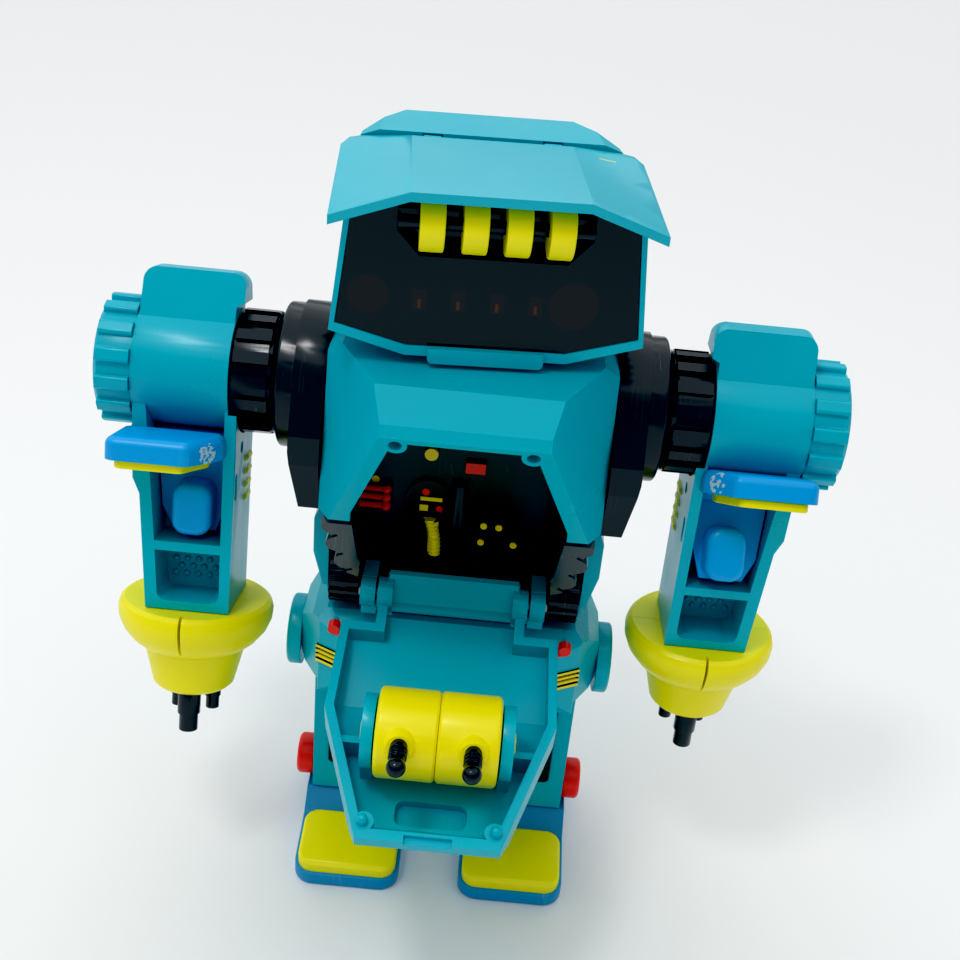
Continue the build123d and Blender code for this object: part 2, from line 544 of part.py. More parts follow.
def forearm_channel():
    """Open-fronted forearm with a shelf, a dotted lower compartment and lever bearings."""
    body = front_prism(FOREARM_OUTLINE, FOREARM_FRONT, FOREARM_SPLIT)
    room = front_prism([(59.4, -1.0), (59.0, -42.8), (75.6, -42.8), (79.4, -1.0)],
                       FOREARM_FRONT - 1, CHANNEL_BACK)
    lower = front_prism([(59.0, -45.2), (58.8, -58.4), (74.4, -58.4), (75.4, -45.2)],
                        FOREARM_FRONT - 1, CHANNEL_BACK)
    lower = fillet(lower.edges().filter_by(Axis.Y).group_by(Axis.Z)[0], 2.4)
    body -= room + lower
    body += rod_x(3.6, 80.0, 84.0, LEVER_Y, LEVER_Z)
    body -= rod_x(1.5 + FIT, 50, 82.8, LEVER_Y, LEVER_Z)
    body -= fillet(block(50, 60, -11.2, -8.4, -31.5, -24.5).edges().filter_by(Axis.X), 1.3)
    for row, z in enumerate((-46.9, -48.9, -50.9, -52.9, -54.9)):
        for column in range(5):
            x = 60.9 + 2.9 * column + 1.45 * (row % 2)
            if x < 73.5:
                body += Pos(x, CHANNEL_BACK - 0.1, z) * Sphere(0.85)
    return body - barrel_space()


def forearm_rear():
    """Closed rear shell of the forearm, with the spigot that the cuff turns on."""
    shell = front_prism(FOREARM_OUTLINE, FOREARM_SPLIT + 0.05, FOREARM_BACK)
    sides = shell.edges().group_by(Axis.Y)[-1].filter_by(Axis.X, reverse=True)
    shell = fillet(sides, 2.0)
    room = front_prism([(58.9, 0), (58.6, FOREARM_BOTTOM + WALL), (75.0, FOREARM_BOTTOM + WALL),
                        (77.2, -31), (79.0, -27),
                        (79.8, 0)], FOREARM_SPLIT - 1, FOREARM_BACK - WALL)
    shell -= room
    return shell - barrel_space()


def cuff_spigot():
    """Headed spigot under the forearm."""
    spigot = rod_z(5.6, FOREARM_BOTTOM - 7, FOREARM_BOTTOM + 1.0, CUFF_X, 0)
    spigot -= block(CUFF_X - 6, CUFF_X + 6, -6, FOREARM_SPLIT + 0.05, FOREARM_BOTTOM - 0.05, FOREARM_BOTTOM + 2)
    return spigot + rod_z(8.0, FOREARM_BOTTOM - 9.5, FOREARM_BOTTOM - 6.5, CUFF_X, 0)


def lever_turn(angle):
    """Turn about the lever's pivot that lifts its hood."""
    return Pos(0, LEVER_Y, LEVER_Z) * Rot(-angle, 0, 0) * Pos(0, -LEVER_Y, -LEVER_Z)


def lever():
    """Blue rocking lever: back plate, peg and overhanging hood."""
    plate = front_prism([(60.0, -17.5), (59.6, -34), (62.0, -41.6), (72.8, -41.6), (75.8, -36), (77.5, -17.5)],
                        -4.4, -1.8)
    plate += rod_x(2.9, 59.8, 77.3, LEVER_Y, LEVER_Z)
    peg = fillet(block(62.0, 71.8, -12.4, -4.0, -41.2, -27.8).edges().filter_by(Axis.Y), 3.6)
    peg = fillet(peg.faces().sort_by(Axis.Y)[0].edges(), 1.8)
    neck = block(60.2, 77.4, -15.0, -3.0, -18.6, -13.6)
    hood = top_prism([(58.2, -13.5), (58.2, -20), (64.5, -29), (84.6, -29), (83.4, -13.5)], -18.8, -13.2)
    hood = fillet(upright_edges(hood).group_by(Axis.Y)[0], 2.6)
    hood = fillet(hood.faces().sort_by(Axis.Z)[-1].edges(), 2.2)
    body = plate + peg + neck + hood
    fixed = rod_x(ARM_RADIUS + 0.5, 50, 100)
    fixed += block(50, 59.7, FOREARM_FRONT - 0.3, 5, -45, -5)
    fixed += block(77.7, 100, FOREARM_FRONT - 0.3, 5, -35, -5)
    for step in range(5):
        body -= lever_turn(-LEVER_TRAVEL * step / 4) * fixed
    return body + rod_x(1.5, 57.2, 82.6, LEVER_Y, LEVER_Z)


def lever_pad():
    """Yellow pad under the lever's hood."""
    pad = top_prism([(61.4, -14.2), (61.4, -19.6), (66.2, -27.9), (82.4, -27.9), (81.8, -14.2)], -21.0, -18.85)
    return fillet(upright_edges(pad).group_by(Axis.Y)[0], 2.0)


def cuff():
    """Yellow cuff, drawn whole about its own axis."""
    top = FOREARM_BOTTOM - 0.25
    profile = [(0, top), (18.4, top), (19.5, top - 0.9), (20.0, top - 2.6), (19.8, top - 5.0), (18.6, top - 8.0),
               (16.4, top - 10.8), (14.4, top - 12.4), (13.2, top - 12.8), (10.6, top - 23.4), (9.6, top - 24.4),
               (0, top - 24.4)]
    form = revolve_z(profile)
    form -= rod_z(5.6 + FIT, top - 7, top + 1) + rod_z(8.1, top - 9.6, top - 6.0)
    form -= block(-0.35, 0.35, -21, -16.4, top - 12, top + 1)
    for x, y in BARREL_SPOTS:
        form -= rod_z(BARREL_BORE + FIT, top - 26, top - 20.4, x, y)
    return Pos(CUFF_X, 0, 0) * form


def cuff_barrels():
    """Three stepped barrels under the cuff, the front one the largest."""
    top = FOREARM_BOTTOM - 0.25
    barrels = []
    for (x, y), size in zip(BARREL_SPOTS, (1.0, 0.72, 0.72)):
        barrel = rod_z(BARREL_BORE, top - 25, top - 20.5, x, y)
        barrel += rod_z(2.95 * size, top - 24.45 - 7.0 * size, top - 24.45, x, y)
        barrel += rod_z(2.45 * size, top - 24.45 - 11.8 * size, top - 24.45 - 6.9 * size, x, y)
        barrel -= rod_z(1.3 * size, top - 24.45 - 12.5 * size, top - 24.45 - 8.5 * size, x, y)
        barrels.append(Pos(CUFF_X, 0, 0) * barrel)
    return barrels


# ---------------------------------------------------------------- head
FACE = both_sides([(17.8, 167.5), (33.9, 172.0), (31.2, 197.0), (19.0, 202.2)])
HEAD_ACROSS = both_sides([(18.2, 165.2), (35.2, 170.2), (32.4, 197.8), (19.4, 202.4)])
HEAD_PLAN = both_sides([(35.2, HEAD_FRONT), (35.2, 2), (22, HEAD_BACK)])


def head_form(inset=0.0):
    """Closed form of the head below the visor."""
    form = front_prism(HEAD_ACROSS, HEAD_FRONT, HEAD_BACK, inset)
    return form & top_prism(HEAD_PLAN, 150, 220, inset)


def head_shells():
    """Face frame in front and rear shell behind, open to the window."""
    inside = front_prism(HEAD_ACROSS, -60, HEAD_BACK - WALL, WALL) & top_prism(HEAD_PLAN, 150, 220, WALL)
    through = front_prism(both_sides([(16.6, 168.6), (32.2, 173.0), (29.8, 196.4), (18.4, 203.2)]), -60, -20)
    shell = head_form() - inside - through
    shell -= front_prism(FACE, -60, HEAD_FRONT + 2.6)
    chin = block(-13, 13, HEAD_FRONT - 1.2, HEAD_FRONT + 5, 163.9, 167.6)
    chin = fillet(chin.edges().filter_by(Axis.Y).group_by(Axis.Z)[0], 1.2)
    shell += chin - front_prism(FACE, -60, HEAD_FRONT + 2.6)
    shell += rod_z(12.0, 166.0, 168.6)
    shell -= rod_z(NECK_RADIUS + 0.02, 160, 170)
    shell -= block(-40, 40, -60, VISOR_SEAM_Y, 201.0, 210)
    seam = -6.0
    front = shell & block(-60, 60, -60, seam, 100, 220)
    rear = shell & block(-60, 60, seam, 60, 100, 220)
    roof_front, roof_back = VISOR_SEAM_Y + 1.1, HEAD_BACK + 2.5
    side = [(roof_front, 198.0), (roof_back - 1.0, 198.0), (roof_back, 206.2), (roof_front, 205.6)]
    plan = both_sides([(30.6, VISOR_SEAM_Y + 1.1), (30.2, 9), (20.2, HEAD_BACK + 2.6)])
    roof = side_prism(side, -40, 40) & top_prism(plan, 190, 215)
    roof &= front_prism(both_sides([(32, 197), (32, 203.6), (24, 206.4)]), -60, 60)
    rear = rear + (roof - inside)
    pocket = rod_x(1.4, 11.6, 16.4, VISOR_AXIS_Y, VISOR_AXIS_Z) + block(11.6, 16.4, 0, VISOR_AXIS_Y, 202.0, 210)
    rear -= pocket + other_side(pocket)
    return front, rear


def face_window():
    """Smoked window with the recess that the brow rollers hang in."""
    pane = front_prism(FACE, HEAD_FRONT + 0.4, HEAD_FRONT + 2.5, 0.15)
    pane -= block(-40, 40, -60, 0, 200.9, 210)
    recess = front_prism(both_sides([(17.2, 187.5), (22.4, 193.5), (22.4, 200.2)]), HEAD_FRONT + 0.2, -20.6)
    hollow = front_prism(both_sides([(16.2, 188.6), (21.2, 194.2), (21.2, 203.0)]), HEAD_FRONT - 1, -21.8)
    return pane + recess - hollow


def instrument_panel():
    """Plate behind the window with two large dials and four gauges."""
    plate = front_prism(both_sides([(15.5, 170.0), (30.0, 174.0), (29.0, 186.4)]), -20.0, -18.6)
    for x in (-23.5, 23.5):
        plate += rod_y(4.6, -21.2, -19.9, x, 179.2)
    for x in (-14.5, -5.0, 5.0, 14.5):
        plate += block(x - 2.4, x + 2.4, -20.9, -19.9, 174.6, 182.6)
    return plate


def roller_shaft():
    """Black cross shaft of the brow rollers."""
    return rod_x(1.5, -21.2, 21.2, ROLLER_Y, ROLLER_Z)


def brow_rollers():
    """Four yellow rollers that turn on the cross shaft."""
    rollers = []
    for x in (-13.8, -4.6, 4.6, 13.8):
        roller = rod_x(ROLLER_RADIUS, x - 2.7, x + 2.7, ROLLER_Y, ROLLER_Z)
        roller = fillet(roller.edges().filter_by(GeomType.CIRCLE), 0.5)
        rollers.append(roller - rod_x(1.5 + FIT, x - 4, x + 4, ROLLER_Y, ROLLER_Z))
    return Compound(rollers)


def visor_section(y, edge_z):
    """Cross-section of the visor plate at one depth: a flat middle and two falling sides."""
    thick = 2.1
    upper = [(35.6, edge_z), (18.8, 205.1), (-18.8, 205.1), (-35.6, edge_z)]
    lower = [(x, z - thick) for x, z in reversed(upper)]
    plane = Plane(origin=(0, y, 0), x_dir=(1, 0, 0), z_dir=(0, -1, 0))
    return plane * Polygon(*upper, *lower, align=None)


def visor():
    """Hinged visor plate: a flat middle and two side facets that fall towards the front."""
    band = loft([visor_section(-37.2, 199.4), visor_section(6.0, 203.9)], ruled=True)
    plan = both_sides([(30.6, VISOR_SEAM_Y), (33.0, 4.2), (34.8, 0.0), (35.6, -37.0), (18.8, -36.2)])
    plate = band & top_prism(plan, 190, 215)
    knuckle = rod_x(0.95, 12, 16, VISOR_AXIS_Y, VISOR_AXIS_Z)
    knuckle += block(12, 16, VISOR_SEAM_Y - 1, VISOR_AXIS_Y, VISOR_AXIS_Z - 0.95, VISOR_AXIS_Z)
    return plate + knuckle + other_side(knuckle)


def neck_post():
    """Neck post fixed to the head, with a flange that keeps it in the torso."""
    return rod_z(NECK_RADIUS, TORSO_TOP - 5.9, 168.6) + rod_z(11.0, TORSO_TOP - 5.9, TORSO_TOP - 3.8)


# ---------------------------------------------------------------- assembly
def left_and_right(name, part, pieces):
    """Add a piece for the left side and its mirror image for the right."""
    pieces["left_" + name] = part
    pieces["right_" + name] = other_side(part)


def build():
    """All pieces by name."""
    pieces = {}
    inner, outer = leg_shells()
    left_and_right("shoe", shoe(), pieces)
    left_and_right("toe_cap", toe_cap(), pieces)
    left_and_right("leg_inner_shell", inner, pieces)
    left_and_right("leg_outer_shell", outer, pieces)
    left_and_right("leg_pad", leg_pad(), pieces)
    left_and_right("ankle_knob", ankle_knob(), pieces)

    pieces["pelvis_front_shell"], pieces["pelvis_rear_shell"] = pelvis_shells()
    pieces["pelvis_vents"] = pelvis_vents()
    pieces["hip_axle"] = hip_axle()
    pieces["hip_caps"] = hip_caps()
    pieces["waist_post"] = waist_post()

    front, rear = chest_shells()
    pieces["chest_front_shell"] = front
    pieces["chest_rear_shell"] = rear - screw_holes()
    pieces["cockpit_liner"] = cockpit_liner()
    pieces["cockpit_side_panels"] = side_panels()
    pieces["waist_core"] = waist_core()
    pieces["hatch_pin"] = hatch_pin()
    left_and_right("shoulder_pod", shoulder_pod(), pieces)
    pieces["shoulder_axles"] = shoulder_axles()
    pieces["chest_screws"] = chest_screws()

    pieces["hatch_tray"] = hatch_tray()
    pieces["turret_left_half"] = drum_frame(drum_half())
    pieces["turret_right_half"] = drum_frame(other_side(drum_half()))
    barrel = turret_barrel()
    pieces["turret_barrels"] = drum_frame(Compound([barrel, other_side(barrel)]))

    whole_cuff = cuff()
    arm = {
        "shoulder_collar": collar(),
        "arm_barrel": arm_barrel(),
        "arm_end_cap": end_cap(),
        "forearm_channel": forearm_channel(),
        "forearm_rear_shell": forearm_rear() + cuff_spigot(),
        "cuff_front": whole_cuff & block(0, 120, -40, -0.03, -120, 0),
        "cuff_rear": whole_cuff & block(0, 120, 0.03, 40, -120, 0),
        "cuff_barrels": Compound(cuff_barrels()),
    }
    rocking = {"lever": lever(), "lever_pad": lever_pad()}
    for name, part in arm.items():
        pieces["left_" + name] = arm_place(part, SWING_LEFT)
        pieces["right_" + name] = arm_place(other_side(part), SWING_RIGHT)
    for name, part in rocking.items():
        pieces["left_" + name] = arm_place(lever_turn(LEVER_TRAVEL) * part, SWING_LEFT)
        pieces["right_" + name] = arm_place(other_side(part), SWING_RIGHT)

    face, skull = head_shells()
    head = {
        "face_frame": face,
        "head_rear_shell": skull,
        "face_window": face_window(),
        "instrument_panel": instrument_panel(),
        "roller_shaft": roller_shaft(),
        "brow_rollers": brow_rollers(),
        "visor": visor(),
        "neck_post": neck_post(),
    }
    for name, part in head.items():
        pieces[name] = Rot(0, 0, HEAD_TURN) * part
    return pieces


PIECES = build()
BOX = Compound(children=[Compound(part.solids()) for part in PIECES.values()]).bounding_box()
CENTRE = Pos(-(BOX.min.X + BOX.max.X) / 2, -(BOX.min.Y + BOX.max.Y) / 2, -BOX.min.Z)
os.makedirs("parts", exist_ok=True)
for name, part in PIECES.items():
    solids = part.solids()
    whole = solids[0] if len(solids) == 1 else Compound(solids)
    export_step(CENTRE * whole, f"parts/{name}.step")
print(len(PIECES), "pieces, moved by", CENTRE.position)
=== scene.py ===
import json
import math

import bmesh
import bpy
from mathutils import Matrix, Vector


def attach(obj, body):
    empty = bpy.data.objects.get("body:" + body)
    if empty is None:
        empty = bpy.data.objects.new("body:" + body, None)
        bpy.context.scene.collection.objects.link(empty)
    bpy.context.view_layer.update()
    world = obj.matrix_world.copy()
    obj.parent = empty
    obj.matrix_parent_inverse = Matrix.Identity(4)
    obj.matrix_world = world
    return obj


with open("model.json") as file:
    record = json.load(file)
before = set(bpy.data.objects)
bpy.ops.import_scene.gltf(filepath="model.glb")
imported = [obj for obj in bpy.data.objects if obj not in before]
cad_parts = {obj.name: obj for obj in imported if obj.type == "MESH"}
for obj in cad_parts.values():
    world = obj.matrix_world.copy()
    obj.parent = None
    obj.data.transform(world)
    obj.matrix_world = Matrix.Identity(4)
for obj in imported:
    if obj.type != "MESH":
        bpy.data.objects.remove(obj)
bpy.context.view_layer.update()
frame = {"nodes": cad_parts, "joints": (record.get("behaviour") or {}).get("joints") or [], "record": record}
MM = 0.001
NODES = frame["nodes"]
JOINTS = {joint["name"]: joint for joint in frame["joints"]}


def joint_point(name):
    """Where a joint's axis passes, in metres."""
    return Vector(JOINTS[name]["pos_m"])


def on_robot(x, y, z):
    """World place of a point given in millimetres from the robot's centre line on the floor."""
    return Vector((x * MM, BODY_AXIS.y + y * MM, z * MM))


BODY_AXIS = joint_point("waist_turn")       # the robot's centre line

TEAL_COLOUR, BLUE_COLOUR = (0.0, 0.455, 0.58), (0.012, 0.38, 0.80)
PAINT_YELLOW, PAINT_RED = (0.9, 0.74, 0.02), (0.85, 0.03, 0.015)

# places on the robot and on its hanging arms, all in millimetres
VISOR_MARK = (26.0, 1.0, 203.0)
LEFT_HOOD_HIGHLIGHT, RIGHT_HOOD_HIGHLIGHT = (61.0, -21.5, 135.5), (-60.5, -27.5, 133.5)     # pale painted highlights on the corners of the hoods
WALL_Y = -8.4                               # front of the cockpit's instrument wall
VENT_Z, VENT_BARS = 69.8, (-2.3, -0.75, 0.75, 2.3)
STUD = (30.4, -18.6, 79.6)                  # red stud on the pelvis, on the left
GAUGES = (-13.0, -4.5, 4.0, 12.5)           # faint gauges behind the window, across
RIB_HEIGHTS = (-23.5, -27.0, -30.5, -34.0)  # from the shoulder
RIB_SWELL = ((1.6, 0.35), (2.1, 0.85), (3.0, 1.0), (7.6, 1.0), (8.5, 0.85), (9.0, 0.35))
RIB_X, RIB_RADIUS = 56.8, 1.1
HOSE_TOP, HOSE_BOTTOM = Vector((-7.9, -9.6, 110.6)), Vector((-6.1, -9.8, 100.2))
HOSE_RADIUS, HOSE_WAVE, HOSE_BOW = 1.42, 0.24, 0.5
SHOULDER_Z = 143.0
SWINGS = {"left": 4.0, "right": 15.0}       # degrees each arm hangs forward at rest

# edge radii in millimetres: every other piece gets the small one, and those in SKIP none
SMALL = 0.35
SOFT = {
    "chest_front_shell": 2.2, "chest_rear_shell": 1.6, "pelvis_front_shell": 1.3, "pelvis_rear_shell": 1.3,
    "head_rear_shell": 1.2, "face_frame": 0.8, "visor": 0.7, "hatch_tray": 0.55,
    "left_shoe": 0.9, "right_shoe": 0.9, "left_toe_cap": 0.5, "right_toe_cap": 0.5,
    "left_shoulder_pod": 1.3, "right_shoulder_pod": 1.3, "left_lever": 0.6, "right_lever": 0.6,
    "left_arm_barrel": 0.6, "right_arm_barrel": 0.6,
}
SKIP = ("face_window", "chest_screws", "hip_axle", "hatch_pin", "shoulder_axles", "waist_post")

# light and camera
SKY_STRENGTH, SUN_ENERGY, SUN_SPREAD = 0.34, 1.5, 120.0
SUN_TILT = (-14.0, -8.0)                    # degrees about X and Y
GLINT_PLACE, GLINT_SIZE, GLINT_POWER = (-0.25, -0.25, 0.9), 0.16, 1.2
CAMERA_PLACE = (4, -302, 292)               # millimetres of the robot
CAMERA_PITCH, CAMERA_ROLL, CAMERA_LENS = 30.0, 5.5, 50.25


# ---------------------------------------------------------------- node helpers
def new_material(name):
    """Empty material with a principled shader; returns (material, tree, shader)."""
    material = bpy.data.materials.new(name)
    material.use_nodes = True
    tree = material.node_tree
    shader = next(node for node in tree.nodes if node.type == "BSDF_PRINCIPLED")
    return material, tree, shader


def vector_maths(tree, operation, source, value=None):
    """One vector arithmetic node, fed by a socket and a plain vector."""
    node = tree.nodes.new("ShaderNodeVectorMath")
    node.operation = operation
    tree.links.new(source, node.inputs[0])
    if value is not None:
        node.inputs[1].default_value = value
    return node


def mix_colour(tree, fac, first, second):
    """Mix of two colours or sockets."""
    node = tree.nodes.new("ShaderNodeMix")
    node.data_type = "RGBA"
    for index, value in ((0, fac), (6, first), (7, second)):
        if isinstance(value, bpy.types.NodeSocket):
            tree.links.new(value, node.inputs[index])
        else:
            node.inputs[index].default_value = value
    return node.outputs[2]


def maths(tree, operation, first, second=0.0):
    """One arithmetic node."""
    node = tree.nodes.new("ShaderNodeMath")
    node.operation = operation
    for index, value in enumerate((first, second)):
        if isinstance(value, bpy.types.NodeSocket):
            tree.links.new(value, node.inputs[index])
        else:
            node.inputs[index].default_value = value
    return node.outputs[0]


def object_coordinates(tree):
    """Coordinates in metres, the same on every piece at rest."""
    return tree.nodes.new("ShaderNodeTexCoord").outputs["Object"]


def noise(tree, coordinates, scale, detail, stretch=(1, 1, 1)):
    """Noise value; stretch scales the coordinates before it is read."""
    mapping = tree.nodes.new("ShaderNodeMapping")
    mapping.inputs["Scale"].default_value = stretch
    tree.links.new(coordinates, mapping.inputs["Vector"])
    node = tree.nodes.new("ShaderNodeTexNoise")
    node.inputs["Scale"].default_value = scale
    node.inputs["Detail"].default_value = detail
    tree.links.new(mapping.outputs["Vector"], node.inputs["Vector"])
    return node.outputs["Fac"]


def scratch_lines(tree, coordinates, turn, density, width):
    """Thin straight scratches: 1 on a scratch, 0 elsewhere."""
    mapping = tree.nodes.new("ShaderNodeMapping")
    mapping.inputs["Scale"].default_value = (density, density * 0.02, density * 0.03)
    mapping.inputs["Rotation"].default_value = turn
    tree.links.new(coordinates, mapping.inputs["Vector"])
    cells = tree.nodes.new("ShaderNodeTexVoronoi")
    cells.feature = "DISTANCE_TO_EDGE"
    cells.inputs["Scale"].default_value = 1.0
    tree.links.new(mapping.outputs["Vector"], cells.inputs["Vector"])
    line = maths(tree, "LESS_THAN", cells.outputs["Distance"], width)
    patches = noise(tree, coordinates, 90.0, 3.0)
    return maths(tree, "MULTIPLY", line, maths(tree, "GREATER_THAN", patches, 0.6))


def bump(tree, shader, height, strength, distance):
    """Bump a shader from a height."""
    node = tree.nodes.new("ShaderNodeBump")
    node.inputs["Strength"].default_value = strength
    node.inputs["Distance"].default_value = distance
    tree.links.new(height, node.inputs["Height"])
    tree.links.new(node.outputs["Normal"], shader.inputs["Normal"])


def inside_box(tree, coordinates, centre, half):
    """1 inside a box given by its centre and half sizes in millimetres of the robot, else 0."""
    away = vector_maths(tree, "SUBTRACT", coordinates, on_robot(*centre))
    scaled = vector_maths(tree, "DIVIDE", away.outputs[0], [value * MM for value in half])
    absolute = vector_maths(tree, "ABSOLUTE", scaled.outputs[0])
    split = tree.nodes.new("ShaderNodeSeparateXYZ")
    tree.links.new(absolute.outputs[0], split.inputs[0])
    wider = maths(tree, "MAXIMUM", split.outputs[1], split.outputs[2])
    widest = maths(tree, "MAXIMUM", split.outputs[0], wider)
    return maths(tree, "LESS_THAN", widest, 1.0)


def inside_ball(tree, coordinates, centre, radius):
    """1 inside a ball given in millimetres of the robot, else 0."""
    away = vector_maths(tree, "DISTANCE", coordinates, on_robot(*centre))
    return maths(tree, "LESS_THAN", away.outputs["Value"], radius * MM)


# ---------------------------------------------------------------- materials
def painted(tree, shader, patches):
    """Paint patches, each (mask, colour), over a shader's base colour."""
    tint = shader.inputs["Base Color"].links[0].from_socket
    for mask, colour in patches:
        tint = mix_colour(tree, mask, tint, colour + (1.0,))
    tree.links.new(tint, shader.inputs["Base Color"])


def moulded_plastic(name, colour, roughness=0.32, grain=0.15, wear=0.5, coat=0.0):
    """Injection-moulded plastic: uneven tint, faint flow marks, fine scratches and a soft grain."""
    material, tree, shader = new_material(name)
    where = object_coordinates(tree)
    cloud = noise(tree, where, 22.0, 3.0)
    flow = noise(tree, where, 60.0, 2.0, stretch=(1.0, 1.0, 0.25))
    dark = tuple(channel * 0.86 for channel in colour) + (1.0,)
    light = tuple(min(1.0, channel * 1.08 + 0.004) for channel in colour) + (1.0,)
    tint = mix_colour(tree, cloud, dark, light)
    tint = mix_colour(tree, maths(tree, "MULTIPLY", flow, 0.18), tint, light)
    scratch = scratch_lines(tree, where, (0.3, 0.5, 0.8), 420.0, 0.006)
    scratch = maths(tree, "MULTIPLY", scratch, wear)
    pale = tuple(channel * 0.6 + 0.28 for channel in colour) + (1.0,)
    tint = mix_colour(tree, maths(tree, "MULTIPLY", scratch, 0.5), tint, pale)
    tree.links.new(tint, shader.inputs["Base Color"])
    fine = noise(tree, where, 2600.0, 2.0)
    smudge = noise(tree, where, 55.0, 4.0)
    gloss = maths(tree, "MULTIPLY_ADD", smudge, 0.16)
    gloss.node.inputs[2].default_value = roughness - 0.08
    tree.links.new(gloss, shader.inputs["Roughness"])
    shader.inputs["IOR"].default_value = 1.5
    shader.inputs["Coat Weight"].default_value = coat
    shader.inputs["Coat Roughness"].default_value = 0.12
    height = maths(tree, "SUBTRACT", fine, maths(tree, "MULTIPLY", scratch, 1.5))
    bump(tree, shader, height, grain, 0.00006)
    return material


def shader_parts(material):
    """(tree, shader, coordinates) of a material that is about to be painted."""
    tree = material.node_tree
    shader = next(node for node in tree.nodes if node.type == "BSDF_PRINCIPLED")
    return tree, shader, object_coordinates(tree)


TEAL = moulded_plastic("teal_plastic", TEAL_COLOUR, 0.30, wear=0.2)
BLACK = moulded_plastic("black_plastic", (0.006, 0.011, 0.017), 0.17, wear=0.5)
YELLOW = moulded_plastic("yellow_plastic", (0.96, 0.86, 0.004), 0.34, wear=0.3)
DRUM_YELLOW = moulded_plastic("turret_yellow_plastic", (0.95, 0.84, 0.003), 0.30, wear=0.3)
BLUE = moulded_plastic("blue_plastic", BLUE_COLOUR, 0.34, wear=0.5)
SHOE_BLUE = moulded_plastic("shoe_blue_plastic", (0.02, 0.30, 0.58), 0.36, wear=0.6)
RED = moulded_plastic("red_plastic", (0.98, 0.022, 0.006), 0.35, wear=0.2)
STEEL = moulded_plastic("steel", (0.55, 0.55, 0.56), 0.3, wear=0.2)
PAD_BLACK = moulded_plastic("textured_black", (0.008, 0.011, 0.014), 0.6, grain=0.8)

PANEL_GREY = moulded_plastic("side_panel_plastic", (0.05, 0.062, 0.072), 0.24, wear=0.6, coat=0.4)


def cockpit_plastic():
    """Black cockpit moulding with its controls picked out in paint."""
    material = moulded_plastic("cockpit_plastic", (0.005, 0.009, 0.014), 0.3, wear=0.3)
    tree, shader, where = shader_parts(material)
    patches = [
        (inside_ball(tree, where, (-8.6, WALL_Y - 1.4, 129.5), 1.9), PAINT_YELLOW),
        (inside_box(tree, where, (2.7, WALL_Y - 0.7, 126.1), (2.7, 0.9, 1.7)), PAINT_RED),
        (inside_ball(tree, where, (-9.4, WALL_Y, 117.3), 1.0), PAINT_RED),
        (inside_box(tree, where, (-7.9, WALL_Y, 115.3), (2.8, 1.0, 0.55)), PAINT_YELLOW),
        (inside_box(tree, where, (-9.7, WALL_Y, 112.6), (1.1, 1.0, 0.9)), PAINT_YELLOW),
        (inside_ball(tree, where, (-5.7, WALL_Y, 112.6), 0.9), PAINT_RED),
        (inside_box(tree, where, (-6.8, WALL_Y - 1.6, 105.2), (1.5, 1.2, 4.6)), PAINT_YELLOW),
        (inside_ball(tree, where, (-22.4, WALL_Y, 119.6), 1.1), PAINT_YELLOW),
    ]
    for x, z in ((6.1, 109.0), (10.0, 108.9), (5.7, 104.0), (14.2, 104.0)):
        patches.append((inside_ball(tree, where, (x, WALL_Y - 0.4, z), 1.1), PAINT_YELLOW))
    for level in (118.0, 115.5, 113.0):
        patches.append((inside_box(tree, where, (-22.0, WALL_Y - 1.4, level), (4.6, 1.3, 1.15)), PAINT_RED))
    painted(tree, shader, patches)
    return material


def lever_plastic(side, highlight_spot):
    """Blue lever plastic with a pale painted highlight at one corner of the hood."""
    material = moulded_plastic(side + "_lever_plastic", BLUE_COLOUR, 0.34, wear=0.5)
    tree, shader, where = shader_parts(material)
    ragged = maths(tree, "GREATER_THAN", noise(tree, where, 900.0, 4.0), 0.50)
    # painted highlight: a pale ragged patch standing for light on the hood's corner
    hood_highlight = maths(tree, "MULTIPLY", inside_ball(tree, where, highlight_spot, 2.7), ragged)
    painted(tree, shader, [(hood_highlight, (0.55, 0.66, 0.74))])
    return material


def vent_plastic():
    """Black hip vents with yellow bars between the slots."""
    material = moulded_plastic("vent_plastic", (0.006, 0.011, 0.017), 0.3, wear=0.3)
    tree, shader, where = shader_parts(material)
    bars = [(inside_box(tree, where, (0, -17, VENT_Z + level), (60, 9, 0.42)), PAINT_YELLOW)
            for level in VENT_BARS]
    painted(tree, shader, bars)
    return material


def pelvis_plastic():
    """Teal hip moulding with red caps on its two studs."""
    material = moulded_plastic("pelvis_plastic", TEAL_COLOUR, 0.30, wear=0.3)
    tree, shader, where = shader_parts(material)
    caps = [(inside_box(tree, where, (x, STUD[1], STUD[2]), (1.7, 1.9, 1.7)), PAINT_RED)
            for x in (-STUD[0], STUD[0])]
    painted(tree, shader, caps)
    return material


def window_plastic():
    """Smoked window: near black, with the instruments behind it showing as faint brown marks."""
    material = moulded_plastic("smoked_window", (0.002, 0.006, 0.008), 0.10, grain=0.02, wear=0.0)
    tree, shader, where = shader_parts(material)
    discs = [(maths(tree, "MULTIPLY", inside_ball(tree, where, (x, -27.0, 179.0), 5.6), 0.8),
              (0.018, 0.010, 0.008)) for x in (-24.5, 21.0)]
    marks = [(maths(tree, "MULTIPLY", inside_box(tree, where, (x, -28.0, 178.5), (1.6, 9, 2.4)), 0.9),
              (0.016, 0.011, 0.009)) for x in GAUGES]
    sparks = [(maths(tree, "MULTIPLY", inside_box(tree, where, (x, -28.0, 177.5), (0.35, 9, 1.0)), 0.9),
               (0.10, 0.030, 0.006)) for x in GAUGES]
    painted(tree, shader, discs + marks + sparks)
    return material


def visor_plastic():
    """Teal visor with a short yellow paint mark."""
    material = moulded_plastic("visor_plastic", TEAL_COLOUR, 0.38, wear=0.2, coat=0.35)
    tree, shader, where = shader_parts(material)
    mark = inside_box(tree, where, VISOR_MARK, (2.0, 0.28, 6.0))
    painted(tree, shader, [(mark, (0.62, 0.70, 0.05))])
    return material


